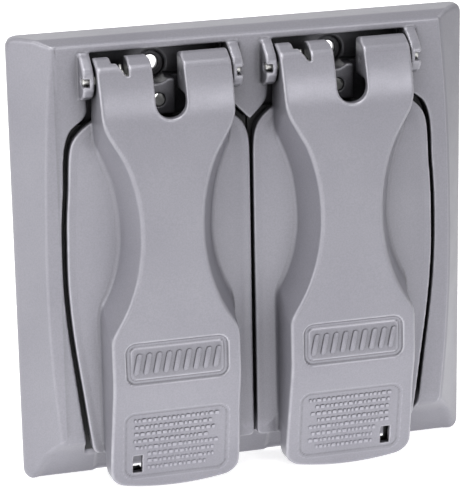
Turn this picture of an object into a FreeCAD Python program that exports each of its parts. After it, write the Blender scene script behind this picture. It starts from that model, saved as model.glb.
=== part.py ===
import FreeCAD, Part
import Sketcher
import os
import math

# A two-gang outlet cover: a plate with two wells, each closed by a sprung lid hinged at the top.
# x runs to the right, z up, and the front faces -y; the back of the plate lies on y = 0.
# A depth is a distance forward of y = 0. The plate is centred on x = 0 and z = 0.

V = FreeCAD.Vector
doc = FreeCAD.newDocument("two_gang_cover")

# ---------------------------------------------------------------- driving sizes (mm)
SIZES = dict(
    # plate
    plate_width=117.84, plate_height=115.6, plate_depth=11.0, band_depth=2.2, gang_pitch=46.04,
    floor_back=3.0, floor_front=5.8, core_depth=8.4, rim_wall=2.8, band_height=9.4,
    pocket_floor=3.4, seat_floor=1.9, lower_seat_floor=3.9,
    # device openings and screws
    device_width=33.5, device_height=67.0, device_corner=3.2,
    device_screw_radius=1.9, device_screw_spacing=83.34,
    box_screw_radius=2.0, box_screw_spacing=98.4, box_head_radius=3.4,
    seat_depth=10.5, seat_half=4.1, seat_left=2.9,
    # hinges, with x measured from the lid's centre
    pin_depth=14.0, pin_height=48.7, pin_radius=1.0, pin_length=14.6, pin_outer_end=19.9,
    bore_inner_end=5.1, pin_play=0.05, ear_inner=17.3, ear_outer=20.1,
    # lids
    lid_back=8.6, lid_edge=11.5, lid_crown=13.2, lid_wall=2.3,
    notch_half=3.9, notch_bottom=39.3, notch_centre=0.8,
    coil_left=12.8, coil_right=8.8, wire_radius=0.45, coil_radius=1.85,
    foam_front=7.4, rib_front=7.5, rib_width=38.2, rib_height=71.7, rib_wall=1.6,
    lock_centre=9.9, lock_width=2.4, lock_top=48.05, lock_bottom=52.75, panel_depth=22.2,
)
sheet = doc.addObject("Spreadsheet::Sheet", "sheet")
for row, (alias, value) in enumerate(SIZES.items(), start=1):
    sheet.set("A%d" % row, alias)
    sheet.set("B%d" % row, str(value))
    sheet.setAlias("B%d" % row, alias)
doc.recompute()

HALF_PITCH = SIZES["gang_pitch"] / 2
CENTRES = (-HALF_PITCH, HALF_PITCH)
CENTRE_EXPRESSIONS = {"left": "-sheet.gang_pitch / 2", "right": "sheet.gang_pitch / 2"}
# the left lid and foam have their outer side at -x; the right ones are mirrored
HANDS = {"left": 1, "right": -1}
HOLLOW_WIDTH = SIZES["plate_width"] - 2 * SIZES["rim_wall"]
HOLLOW_HEIGHT = SIZES["plate_height"] - 2 * SIZES["rim_wall"]
DEVICE_SCREW_Z = SIZES["device_screw_spacing"] / 2
BOX_SCREW_Z = SIZES["box_screw_spacing"] / 2
PIN_CENTRE = (-SIZES["pin_depth"], SIZES["pin_height"])  # y, z

# sketch planes, with the sketch's own axes and normal
FRONT = "XZ_Plane"  # x, z; normal forward, -y
SIDE = "YZ_Plane"   # y, z; normal +x
LEVEL = "XY_Plane"  # x, y; normal +z


# ---------------------------------------------------------------- sketch geometry
def line(start, end):
    return Part.LineSegment(V(*start, 0), V(*end, 0))


def arc(start, middle, end):
    return Part.Arc(V(*start, 0), V(*middle, 0), V(*end, 0))


def chain(points):
    """Lines from point to point, left open."""
    return [line(start, end) for start, end in zip(points, points[1:])]


def closed(points):
    return chain(points + points[:1])


def rectangle(x0, x1, y0, y1):
    return closed([(x0, y0), (x1, y0), (x1, y1), (x0, y1)])


def trapezoid(front_half, front_y, foot_half, foot_y):
    return closed([(-front_half, front_y), (front_half, front_y),
                   (foot_half, foot_y), (-foot_half, foot_y)])


def spline(points):
    curve = Part.BSplineCurve()
    curve.interpolate([V(*point, 0) for point in points])
    return curve


def circles(centres, radius):
    return [Part.Circle(V(*centre, 0), V(0, 0, 1), radius) for centre in centres]


def rounded(centre_x, centre_z, width, height, radius):
    """A rectangle with rounded corners, clockwise from its top left."""
    x0, x1 = centre_x - width / 2, centre_x + width / 2
    z0, z1 = centre_z - height / 2, centre_z + height / 2
    inset = radius * (1 - math.sqrt(0.5))
    # for each side: its start, its end, and the middle of the arc that follows
    points = [
        (x0 + radius, z1), (x1 - radius, z1), (x1 - inset, z1 - inset),
        (x1, z1 - radius), (x1, z0 + radius), (x1 - inset, z0 + inset),
        (x1 - radius, z0), (x0 + radius, z0), (x0 + inset, z0 + inset),
        (x0, z0 + radius), (x0, z1 - radius), (x0 + inset, z1 - inset),
    ]
    edges = []
    for i in range(0, 12, 3):
        start, end, middle, following = (points + points[:1])[i:i + 4]
        edges += [line(start, end), arc(end, middle, following)]
    return edges


def handed(points, hand):
    return [(hand * x, z) for x, z in points]


def mirrored(points):
    return handed(points, -1)


# ---------------------------------------------------------------- document objects
# An offset or a length is a number, or an expression on the sheet.
def new_body(name):
    return doc.addObject("PartDesign::Body", name)


def sketch(body, name, role, geometry, offset=0.0, radius=None):
    """A sketch on one of the body's origin planes, moved along the plane's normal.

    radius is the expression that drives every full circle in it.
    """
    drawing = body.newObject("Sketcher::SketchObject", name)
    plane = [feature for feature in body.Origin.OriginFeatures if feature.Role == role][0]
    drawing.AttachmentSupport = [(plane, "")]
    drawing.MapMode = "FlatFace"
    if isinstance(offset, str):
        drawing.setExpression(".AttachmentOffset.Base.z", offset)
    else:
        drawing.AttachmentOffset = FreeCAD.Placement(V(0, 0, offset), FreeCAD.Rotation())
    drawing.addGeometry(geometry, False)
    doc.recompute()
    if radius:
        for i, edge in enumerate(drawing.Geometry):
            if edge.TypeId == "Part::GeomCircle":
                k = drawing.addConstraint(Sketcher.Constraint("Radius", i, edge.Radius))
                drawing.setExpression("Constraints[%d]" % k, radius)
        doc.recompute()
    return drawing


def set_length(feature, length):
    if isinstance(length, str):
        feature.setExpression("Length", length)
    else:
        feature.Length = length


def pad(body, name, profile, length):
    feature = body.newObject("PartDesign::Pad", name)
    feature.Profile = profile
    set_length(feature, length)
    doc.recompute()


def cut(body, name, profile, length, along_normal=True):
    """A pocket; it must take material away."""
    before = body.Tip.Shape.Volume
    feature = body.newObject("PartDesign::Pocket", name)
    feature.Profile = profile
    feature.Reversed = along_normal
    set_length(feature, length)
    doc.recompute()
    if not before - feature.Shape.Volume > 0.05:
        raise RuntimeError("%s removes nothing" % name)


def loft(body, name, sketches, subtract=False):
    kind = "PartDesign::SubtractiveLoft" if subtract else "PartDesign::AdditiveLoft"
    feature = body.newObject(kind, name)
    feature.Profile = sketches[0]
    feature.Sections = sketches[1:]
    feature.Ruled = True
    doc.recompute()


# ================================================================ cover plate
# right side of the front face, from the top down: x, z
FACE_SIDE = [
    (49.75, 54.0), (50.7, 46.0), (51.35, 38.0), (52.1, 24.0), (52.55, 10.0),
    (52.75, -4.0), (52.5, -18.0), (51.9, -30.0), (51.0, -40.0), (50.55, -43.6),
]
# end and middle points of the face's right corner arcs: x, z
FACE_TOP, FACE_TOP_MIDDLE = (46.6, 57.0), (48.8, 56.2)
FACE_LOW_MIDDLE, FACE_LOW = (49.6, -45.7), (47.4, -46.5)

# cored corners on the left, and the core between the hinges: x, z
TOP_CORE = [(-45.8, 53.4), (-48.9, 53.4), (-49.8, 41.0), (-48.4, 38.6), (-45.9, 42.2)]
LOW_CORE = [(-48.7, -30.0), (-50.9, -30.0), (-50.0, -44.0), (-47.1, -44.0)]
MIDDLE_CORE = [(-2.2, 53.4), (-2.2, 43.6), (0.0, 40.6), (2.2, 43.6), (2.2, 53.4)]

# outer side of the left well, from the hinge down: x from the lid centre, z
OPEN_SIDE = [
    (-18.2, 42.9), (-18.4, 39.8), (-19.8, 38.0), (-22.2, 36.2), (-23.6, 33.6), (-24.4, 29.8),
    (-24.8, 21.8), (-25.4, 13.8), (-25.65, 7.1), (-25.7, -0.9), (-25.4, -9.2), (-24.7, -17.5),
    (-23.7, -25.9), (-22.7, -34.4), (-21.7, -43.0), (-20.7, -51.1),
]
WELL_TOP = 54.9
WELL_BOTTOM = -62.0       # beyond the lower flank
WELL_LOW_X = 43.4         # outer side, at the bottom
TONGUE_HALF = 2.3         # tongue left between the wells at the bottom
TONGUE_TOP = -49.2

# side view of a hinge ear: y, z
EAR = [
    (-7.0, 54.95), (-11.0, 54.95), (-15.3, 52.2), (-16.4, 50.8), (-16.9, 48.9),
    (-16.6, 46.9), (-15.2, 44.9), (-12.6, 43.7), (-7.0, 43.6),
]
STAKE_LENGTH = 1.7        # slot in the outer face of an ear, along x
STAKE_FRONT = -18.0       # y

UPPER_SEAT_Z = (38.0, 46.8)
ABOVE_BACK_FLOOR = "sheet.floor_back + 0.5"  # the added bands reach into the floor by 0.5
BAND_OVERLAP_X = 0.5      # reach of the bands into the rim
BAND_OVERLAP_Z = 1.4

# side views of the cuts in the lower flank: y, z
SCOOP = [(-14.0, -44.65), (-7.5, -48.25), (-1.0, -57.8), (-1.0, -62.0), (-14.0, -62.0)]
SCOOP_HALF = 54.3
FINGER_RECESS = [
    (-7.0, -47.97), (-1.4, -56.19), (-1.2, -57.3), (1.0, -57.3), (1.0, -60.0), (-7.0, -60.0),
]
RECESS_HALF = 17.5


def device_outline(centre, margin=0.0, corner=SIZES["device_corner"]):
    """The device opening of one gang, grown by margin on its width and height."""
    return rounded(centre, 0, SIZES["device_width"] + margin,
                   SIZES["device_height"] + margin, corner)


def make_plate_form(plate):
    """The tapered block, hollowed at the back."""
    width, height = SIZES["plate_width"], SIZES["plate_height"]
    foot = sketch(plate, "plate_foot", FRONT, rounded(0, 0, width, height, 3.0))
    band = sketch(plate, "plate_band", FRONT, rounded(0, 0, width - 1.0, height - 1.0, 2.7),
                  "sheet.band_depth")
    left_side = mirrored(FACE_SIDE)
    left_top, left_top_middle, left_low_middle, left_low = mirrored(
        [FACE_TOP, FACE_TOP_MIDDLE, FACE_LOW_MIDDLE, FACE_LOW])
    face = sketch(plate, "plate_face", FRONT, [
        line(left_top, FACE_TOP),
        arc(FACE_TOP, FACE_TOP_MIDDLE, FACE_SIDE[0]),
        spline(FACE_SIDE),
        arc(FACE_SIDE[-1], FACE_LOW_MIDDLE, FACE_LOW),
        line(FACE_LOW, left_low),
        arc(left_low, left_low_middle, left_side[-1]),
        spline(left_side[::-1]),
        arc(left_side[0], left_top_middle, left_top),
    ], "sheet.plate_depth")
    loft(plate, "plate_form", [foot, band, face])

    # the hollow back takes the box gasket
    outline = sketch(plate, "back_outline", FRONT,
                     rounded(0, 0, HOLLOW_WIDTH, HOLLOW_HEIGHT, 2.4))
    cut(plate, "back_hollow", outline, "sheet.floor_back")
    # solid bands over the box screws, above and below the gasket space
    band_z = (HOLLOW_HEIGHT - SIZES["band_height"] + BAND_OVERLAP_Z) / 2
    bands = []
    for z in (band_z, -band_z):
        bands += rounded(0, z, HOLLOW_WIDTH + 2 * BAND_OVERLAP_X,
                         SIZES["band_height"] + BAND_OVERLAP_Z, 0.5)
    pad(plate, "back_bands", sketch(plate, "band_outlines", FRONT, bands), ABOVE_BACK_FLOOR)

    cores = []
    for points in (TOP_CORE, mirrored(TOP_CORE), LOW_CORE, mirrored(LOW_CORE), MIDDLE_CORE):
        cores += closed(points)
    cut(plate, "cores", sketch(plate, "core_outlines", FRONT, cores), "sheet.core_depth")


def cut_plate_wells(plate):
    """The two lid wells, open to each other and through the lower flank, and their pockets."""
    left = [(x - HALF_PITCH, z) for x, z in OPEN_SIDE]
    right = mirrored(left)
    inner_x = HALF_PITCH + OPEN_SIDE[0][0]
    well = [line((left[0][0], WELL_TOP), left[0]), spline(left)]
    well += chain([
        left[-1], (-WELL_LOW_X, WELL_BOTTOM), (-TONGUE_HALF, WELL_BOTTOM),
        (-TONGUE_HALF, TONGUE_TOP), (TONGUE_HALF, TONGUE_TOP),
        (TONGUE_HALF, WELL_BOTTOM), (WELL_LOW_X, WELL_BOTTOM), right[-1],
    ])
    well.append(spline(right[::-1]))
    well += chain([
        right[0], (right[0][0], WELL_TOP), (inner_x, WELL_TOP), (inner_x, 42.9),
        (3.0, 37.9), (0.0, 35.0), (-3.0, 37.9),
        (-inner_x, 42.9), (-inner_x, WELL_TOP), (left[0][0], WELL_TOP),
    ])
    cut(plate, "lid_wells", sketch(plate, "well_outline", FRONT, well, "sheet.floor_front"),
        length=12.0)

    # the deeper pocket behind each hinge, where the upper box screws go
    pockets, openings = [], []
    for centre in CENTRES:
        pockets += rounded(centre, 50.6, 34.0, 7.6, 0.8)
        openings += device_outline(centre)
    outline = sketch(plate, "hinge_pocket_outlines", FRONT, pockets, "sheet.pocket_floor")
    cut(plate, "hinge_pockets", outline, length=6.0)
    cut(plate, "device_openings", sketch(plate, "device_outlines", FRONT, openings), length=15.0)


def add_plate_hinges(plate):
    """The raised seats of the upper device screws, and the hinge ears beside each lid."""
    seats = []
    for centre in CENTRES:
        seats += rectangle(centre - SIZES["seat_left"], centre + SIZES["seat_half"],
                           *UPPER_SEAT_Z)
    pad(plate, "upper_seats", sketch(plate, "seat_outlines", FRONT, seats, ABOVE_BACK_FLOOR),
        "sheet.seat_depth - sheet.floor_back - 0.5")

    ear_starts, slot_starts = [], []
    for centre in CENTRES:
        left_end, right_end = centre - SIZES["ear_outer"], centre + SIZES["ear_outer"]
        ear_starts += [left_end, centre + SIZES["ear_inner"]]
        slot_starts += [left_end, right_end - STAKE_LENGTH]
    for n, x in enumerate(ear_starts):
        pad(plate, "ear_%d" % n, sketch(plate, "ear_outline_%d" % n, SIDE, closed(EAR), x),
            "sheet.ear_outer - sheet.ear_inner")

    bore = sketch(plate, "pin_holes", SIDE, circles([PIN_CENTRE], SIZES["pin_radius"]), -60.0,
                  radius="sheet.pin_radius")
    cut(plate, "pin_bores", bore, length=120.0)
    # the open slot in each ear's outer face, where the pin end is staked
    pin_y, pin_z = PIN_CENTRE
    slot = rectangle(STAKE_FRONT, pin_y, pin_z + SIZES["pin_radius"],
                     pin_z - SIZES["pin_radius"])
    for n, x in enumerate(slot_starts):
        cut(plate, "stake_cut_%d" % n, sketch(plate, "stake_slot_%d" % n, SIDE, slot, x),
            STAKE_LENGTH)


def cut_plate_screws(plate):
    """Through holes for the device and box screws, and sunk seats for the box screw heads."""
    for kind, screw_z in (("device", DEVICE_SCREW_Z), ("box", BOX_SCREW_Z)):
        places = [(centre, z) for centre in CENTRES for z in (screw_z, -screw_z)]
        holes = sketch(plate, kind + "_screws", FRONT,
                       circles(places, SIZES[kind + "_screw_radius"]),
                       radius="sheet.%s_screw_radius" % kind)
        cut(plate, kind + "_screw_holes", holes, length=20.0)
    for level, z, floor in (("upper", BOX_SCREW_Z, "sheet.seat_floor"),
                            ("lower", -BOX_SCREW_Z, "sheet.lower_seat_floor")):
        heads = circles([(centre, z) for centre in CENTRES], SIZES["box_head_radius"])
        outline = sketch(plate, level + "_head_outlines", FRONT, heads, floor,
                         radius="sheet.box_head_radius")
        cut(plate, level + "_head_seats", outline, length=14.0)


def cut_plate_flank(plate):
    """The scooped lower flank, and the shallow finger recess in it behind each tab."""
    scoop = sketch(plate, "scoop_outline", SIDE, closed(SCOOP), -SCOOP_HALF)
    cut(plate, "lower_scoop", scoop, 2 * SCOOP_HALF)
    for n, centre in enumerate(CENTRES):
        recess = sketch(plate, "recess_outline_%d" % n, SIDE, closed(FINGER_RECESS),
                        centre - RECESS_HALF)
        cut(plate, "finger_recess_%d" % n, recess, 2 * RECESS_HALF)


def make_plate():
    plate = new_body("cover_plate")
    make_plate_form(plate)
    cut_plate_wells(plate)
    add_plate_hinges(plate)
    cut_plate_screws(plate)
    cut_plate_flank(plate)
    return plate


# ================================================================ lids
# sides of the left lid, from the top down: x from the lid centre, z
LID_OUTER_SIDE = [
    (-17.8, 37.5), (-20.6, 35.3), (-22.4, 32.9), (-23.2, 29.8), (-23.7, 21.8), (-24.3, 13.9),
    (-24.5, 7.1), (-24.6, -0.9), (-24.3, -9.2), (-23.6, -17.5), (-22.6, -25.9), (-21.5, -34.3),
    (-20.4, -43.0), (-19.8, -47.7),
]
LID_INNER_SIDE = [
    (17.8, 37.5), (20.9, 34.6), (22.1, 31.8), (22.5, 29.0),
    (22.6, 25.5), (22.6, 0.0), (22.6, -25.0), (22.6, -47.5),
]
# bottom corners, outer then inner, of the edge and of the crown's front: x, z
EDGE_CORNERS = [(-18.5, -48.8), (21.4, -48.8)]
CROWN_CORNERS = [(-13.0, -45.2), (15.0, -45.2)]
# the crown's front is the lid's outline drawn in, with its top end set apart
CROWN_SCALE_X, CROWN_SCALE_Z = 0.70, 0.93
CROWN_TOP_HALF = 14.5

# handle, from the top down: z, front y, half width of the front, half width of the foot, foot y
STATIONS = [
    (53.9, -13.5, 16.7, 16.8, -12.3), (53.0, -15.2, 16.8, 16.9, -11.6),
    (52.0, -16.9, 16.9, 17.0, -11.1), (48.7, -17.9, 16.9, 17.0, -10.4),
    (44.0, -19.7, 16.9, 17.0, -10.4), (40.4, -20.9, 16.7, 17.0, -10.4),
    (37.6, -21.4, 16.0, 17.0, -10.4), (33.2, -21.6, 13.6, 16.8, -10.4),
    (29.4, -21.65, 11.3, 15.5, -10.4), (25.4, -21.75, 9.9, 14.1, -10.4),
    (21.3, -21.9, 8.8, 13.1, -10.4), (15.3, -22.05, 8.1, 12.2, -10.4),
    (8.6, -22.25, 7.9, 11.8, -10.4), (2.6, -22.35, 8.6, 12.3, -10.4),
    (-4.1, -22.45, 10.4, 14.0, -10.4), (-10.2, -22.5, 13.1, 16.9, -10.4),
    (-14.8, -22.6, 16.5, 17.7, -10.4), (-17.4, -22.65, 16.9, 17.8, -10.4),
    (-27.5, -23.0, 16.9, 17.8, -10.4), (-31.0, -22.6, 16.9, 17.7, -10.4),
    (-36.0, -21.1, 16.95, 17.5, -10.4), (-47.6, -19.05, 17.0, 17.2, -10.4),
    (-52.5, -18.2, 17.0, 17.1, -11.6), (-54.6, -17.8, 16.5, 16.6, -12.3),
    (-55.8, -17.5, 15.3, 15.4, -12.8), (-56.6, -17.3, 13.2, 13.3, -13.0),
    (-57.2, -17.15, 9.0, 9.1, -13.2), (-57.65, -17.05, 3.0, 3.1, -13.3),
]
# hollows inside the handle: lower z, upper z
HOLLOWS = [(37.0, 44.6), (-33.4, 33.4), (-46.6, -37.0)]
HOLLOW_BACK = -7.5        # y
HOLLOW_FOOT_LIMIT = 14.6  # widest half width at the back
STATION_GAP = 0.8         # stations nearer than this to a hollow's end are left out
# hollow behind the tab: z, y of the lid's front, half width
TAB_HOLLOW = [(-49.6, -18.6, 14.0), (-53.4, -18.0, 13.8), (-55.6, -17.5, 12.0)]

# parts of the spring coil pocket: front y, lower z, upper z
COIL_POCKETS = [(-16.5, 44.7, 51.4), (-15.2, 51.3, 55.0)]
SPRING_NOTCH = [(-12.4, 55.0), (-8.9, 55.0), (-8.9, 50.0), (-9.7, 50.0)]  # x, z
NOTCH_TOP = 60.0          # above the hinge edge
BORE_OUTER_END = 18.0     # beyond the knuckles


def station_at(z):
    """The handle's section at a height, interpolated between stations."""
    ascending = sorted(STATIONS)
    for low, high in zip(ascending, ascending[1:]):
        if low[0] <= z <= high[0]:
            share = (z - low[0]) / (high[0] - low[0])
            return tuple(a + (b - a) * share for a, b in zip(low, high))
    raise ValueError(z)


def lid_outline(outer, inner, corners, hand):
    outer, inner, corners = (handed(points, hand) for points in (outer, inner, corners))
    return [line(inner[0], outer[0]), spline(outer),
            *chain([outer[-1], *corners, inner[-1]]), spline(inner[::-1])]


def crown_side(side, top_x):
    top_z = 37.0  # only the first point of a side lies above this
    return [(top_x if z > top_z else x * CROWN_SCALE_X, z * CROWN_SCALE_Z) for x, z in side]


def make_lid_form(lid, hand):
    """The edge plate, the crown in front of it and the handle down the middle."""
    edge = lid_outline(LID_OUTER_SIDE, LID_INNER_SIDE, EDGE_CORNERS, hand)
    pad(lid, "edge_plate", sketch(lid, "edge_outline", FRONT, edge, "sheet.lid_back"),
        "sheet.lid_edge - sheet.lid_back")
    # the crown starts 0.02 inside the edge plate, so that they join
    low = sketch(lid, "crown_low", FRONT, edge, "sheet.lid_edge - 0.02")
    top = lid_outline(crown_side(LID_OUTER_SIDE, -CROWN_TOP_HALF),
                      crown_side(LID_INNER_SIDE, CROWN_TOP_HALF), CROWN_CORNERS, hand)
    high = sketch(lid, "crown_high", FRONT, top, "sheet.lid_crown")
    loft(lid, "crown", [low, high])

    sections = []
    for n, (z, front_y, front_half, foot_half, foot_y) in enumerate(STATIONS):
        section = trapezoid(front_half, front_y, foot_half, foot_y)
        sections.append(sketch(lid, "handle_%02d" % n, LEVEL, section, z))
    loft(lid, "handle", sections)


def hollow_lid(lid):
    """Hollows open at the back, with webs between them where the sealing rib crosses."""
    wall = SIZES["lid_wall"]
    count = 0
    for part, (z0, z1) in enumerate(HOLLOWS):
        between = [station for station in sorted(STATIONS)
                   if z0 + STATION_GAP < station[0] < z1 - STATION_GAP]
        sections = []
        for z, front_y, front_half, foot_half, _ in [station_at(z0), *between, station_at(z1)]:
            inner_front = front_half - wall
            inner_foot = min(max(foot_half - 1.5 * wall, inner_front), HOLLOW_FOOT_LIMIT)
            section = trapezoid(inner_front, front_y + wall, inner_foot, HOLLOW_BACK)
            sections.append(sketch(lid, "hollow_%02d" % count, LEVEL, section, z))
            count += 1
        loft(lid, "hollow_part_%d" % part, sections, subtract=True)

    sections = [sketch(lid, "tab_hollow_%d" % n, LEVEL,
                       trapezoid(half, front_y + wall, half, -8.0), z)
                for n, (z, front_y, half) in enumerate(TAB_HOLLOW)]
    loft(lid, "tab_hollow", sections, subtract=True)


def add_sealing_rib(lid):
    """The rib on the back that presses into the foam round the device opening."""
    width, height, wall = SIZES["rib_width"], SIZES["rib_height"], SIZES["rib_wall"]
    rib = rounded(0, 0, width, height, 4.2)
    rib += rounded(0, 0, width - 2 * wall, height - 2 * wall, 2.6)
    pad(lid, "sealing_rib", sketch(lid, "rib_outline", FRONT, rib, "sheet.rib_front"),
        "sheet.lid_back - sheet.rib_front + 0.3")


def cut_lid_details(lid, hand):
    # the U notch in the hinge edge, over the upper device screw
    x, half = SIZES["notch_centre"], SIZES["notch_half"]
    z = SIZES["notch_bottom"] + half
    notch = [arc((x - half, z), (x, z - half), (x + half, z)),
             *chain([(x + half, z), (x + half, NOTCH_TOP), (x - half, NOTCH_TOP),
                     (x - half, z)])]
    cut(lid, "hinge_notch", sketch(lid, "notch_outline", FRONT, notch, 7.0), length=30.0)

    # the pocket that holds the spring coil, and the tapered notch in front of it
    for part, (front_y, z0, z1) in enumerate(COIL_POCKETS):
        pocket = rectangle(-SIZES["coil_left"], -SIZES["coil_right"], front_y, -7.0)
        cut(lid, "coil_pocket_%d" % part,
            sketch(lid, "coil_outline_%d" % part, LEVEL, pocket, z1), z1 - z0,
            along_normal=False)
    notch = sketch(lid, "spring_notch_outline", FRONT, closed(SPRING_NOTCH), 12.0)
    cut(lid, "spring_notch", notch, length=14.0)

    # a blind pin bore in each knuckle
    for n, x in enumerate((-BORE_OUTER_END, SIZES["bore_inner_end"])):
        bore = sketch(lid, "bore_outline_%d" % n, SIDE,
                      circles([PIN_CENTRE], SIZES["pin_radius"] + SIZES["pin_play"]), x,
                      radius="sheet.pin_radius + sheet.pin_play")
        cut(lid, "pin_bore_%d" % n, bore, BORE_OUTER_END - SIZES["bore_inner_end"])

    # the lock slot in the tab, towards the outer side
    lock_x, half = -hand * SIZES["lock_centre"], SIZES["lock_width"] / 2
    slot = rectangle(lock_x - half, lock_x + half, -SIZES["lock_bottom"], -SIZES["lock_top"])
    cut(lid, "lock_slot", sketch(lid, "lock_outline", FRONT, slot, 6.0), length=20.0)

    # the sunk panel on the handle
    panel = rounded(0, -22.05, 26.2, 10.7, 2.5)
    cut(lid, "panel", sketch(lid, "panel_outline", FRONT, panel, "sheet.panel_depth"),
        length=4.0)


def make_lid(name, hand):
    lid = new_body(name)
    make_lid_form(lid, hand)
    hollow_lid(lid)
    add_sealing_rib(lid)
    cut_lid_details(lid, hand)
    return lid


# ================================================================ hinge pins
# left end of each pin, from the lid's centre
PIN_STARTS = {"left": " - sheet.pin_outer_end",
              "right": " + sheet.pin_outer_end - sheet.pin_length"}


def make_pin(name, start):
    """A short pin from an ear into a knuckle; the notch between the knuckles stays clear."""
    pin = new_body(name)
    profile = sketch(pin, "pin_profile", SIDE, circles([PIN_CENTRE], SIZES["pin_radius"]),
                     radius="sheet.pin_radius")
    pad(pin, "pin_rod", profile, "sheet.pin_length")
    pin.setExpression(".Placement.Base.x", start)
    return pin


# ================================================================ springs
COIL_TURNS = 3.0
COIL_PITCH = 0.95
COIL_SAMPLES = 16         # intervals between the points on the coil
COIL_START = math.radians(35.0)  # angle round the pin, from +y towards +z
COIL_END = COIL_START + 2 * math.pi * COIL_TURNS - math.radians(75.0)
COIL_INSET = 0.55         # from the left wall of the coil pocket
# distances along each straight leg, from the coil's start and end
START_LEG = (5.2, 3.0, 1.0)
END_LEG = (1.0, 3.0, 4.6)


def coil_point(share):
    angle = COIL_START + (COIL_END - COIL_START) * share
    radius = SIZES["coil_radius"]
    return V(-SIZES["coil_left"] + COIL_INSET + COIL_PITCH * COIL_TURNS * share,
             PIN_CENTRE[0] + radius * math.cos(angle),
             PIN_CENTRE[1] + radius * math.sin(angle))


def leg_direction(angle):
    return V(0, -math.sin(angle), math.cos(angle))


def make_spring(name, centre):
    """A coil round the pin's axis with two legs, swept as one wire."""
    coil = [coil_point(i / COIL_SAMPLES) for i in range(COIL_SAMPLES + 1)]
    start_leg = [coil[0] - leg_direction(COIL_START) * reach for reach in START_LEG]
    end_leg = [coil[-1] + leg_direction(COIL_END) * reach for reach in END_LEG]
    curve = Part.BSplineCurve()
    curve.interpolate(start_leg + coil + end_leg)
    path = Part.Wire([curve.toShape()])
    direction = curve.tangent(curve.FirstParameter)[0]
    section = Part.Circle(start_leg[0], direction, SIZES["wire_radius"])
    profile = Part.Wire([section.toShape()])
    spring = doc.addObject("Part::Feature", name)
    spring.Shape = path.makePipeShell([profile], True, False)
    spring.Placement = FreeCAD.Placement(V(centre, 0, 0), FreeCAD.Rotation())
    return spring


# ================================================================ gaskets
FOAM_BOTTOM = -49.0
FOAM_SIDE_GAP = 0.3       # to the outer side of the well
FOAM_MIDDLE_GAP = 0.25    # to the middle of the plate
BOX_GASKET_PLAY = 0.6     # on the width and height


def make_foam(name, hand):
    """The foam sheet on the floor of one well, cut out round the device opening."""
    foam = new_body(name)
    inner_x = HALF_PITCH - FOAM_MIDDLE_GAP
    side = [(x + FOAM_SIDE_GAP, z) for x, z in OPEN_SIDE[3:-1]]
    top = [(inner_x, 34.4), (19.9, 37.3), side[0]]
    bottom = [side[-1], (-20.8, FOAM_BOTTOM), (inner_x, FOAM_BOTTOM), top[0]]
    outline = chain(handed(top, hand)) + [spline(handed(side, hand))]
    outline += chain(handed(bottom, hand)) + device_outline(0)
    pad(foam, "foam_sheet", sketch(foam, "foam_outline", FRONT, outline, "sheet.floor_front"),
        "sheet.foam_front - sheet.floor_front")
    for kind, z, radius in (("screw", -DEVICE_SCREW_Z, 3.6),
                            ("head", -BOX_SCREW_Z, SIZES["box_head_radius"])):
        hole = sketch(foam, kind + "_outline", FRONT, circles([(0, z)], radius), 5.0)
        cut(foam, kind + "_hole", hole, length=4.0)
    return foam


def make_box_gasket():
    """The sheet in the hollow back, between the two solid bands."""
    gasket = new_body("box_gasket")
    outline = rounded(0, 0, HOLLOW_WIDTH - BOX_GASKET_PLAY,
                      HOLLOW_HEIGHT - 2 * SIZES["band_height"] - BOX_GASKET_PLAY, 2.2)
    for centre in CENTRES:
        outline += device_outline(centre, margin=2, corner=3.6)
        outline += circles([(centre, DEVICE_SCREW_Z), (centre, -DEVICE_SCREW_Z)], 2.6)
    pad(gasket, "gasket_sheet", sketch(gasket, "gasket_outline", FRONT, outline),
        "sheet.floor_back - 0.05")
    return gasket


# ================================================================ build, check and write
pieces = [make_plate()]
for side, hand in HANDS.items():
    lid = make_lid(side + "_lid", hand)
    lid.setExpression(".Placement.Base.x", CENTRE_EXPRESSIONS[side])
    pieces.append(lid)
for side, centre in CENTRE_EXPRESSIONS.items():
    for end, start in PIN_STARTS.items():
        pieces.append(make_pin("%s_lid_%s_pin" % (side, end), centre + start))
for side, centre in zip(HANDS, CENTRES):
    pieces.append(make_spring(side + "_lid_spring", centre))
for side, hand in HANDS.items():
    foam = make_foam(side + "_well_gasket", hand)
    foam.setExpression(".Placement.Base.x", CENTRE_EXPRESSIONS[side])
    pieces.append(foam)
pieces.append(make_box_gasket())

doc.recompute()
for obj in doc.Objects:
    bad = [state for state in obj.State if state in ("Invalid", "Error")]
    if bad:
        raise RuntimeError("%s (%s) is %s" % (obj.Name, obj.Label, bad))
os.makedirs("parts", exist_ok=True)
for piece in pieces:
    shape = piece.Shape
    if shape.isNull() or not shape.isValid() or len(shape.Solids) != 1:
        raise RuntimeError("%s is not one valid solid" % piece.Label)
    shape.exportStep("parts/%s.step" % piece.Label)
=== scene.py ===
# A two-gang cover plate with two hinged lids, their pins, springs and gaskets.
# It stands upright: x runs to the right, z up, and the front faces -y. The plate's back is at
# y = 0, its middle at x = z = 0. The lids hang side by side from pins along x near the top.
# Shapes are in millimetres; stage, lights and camera are in metres.
import math
import bpy
import numpy as np
from mathutils import Matrix, Vector


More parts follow.
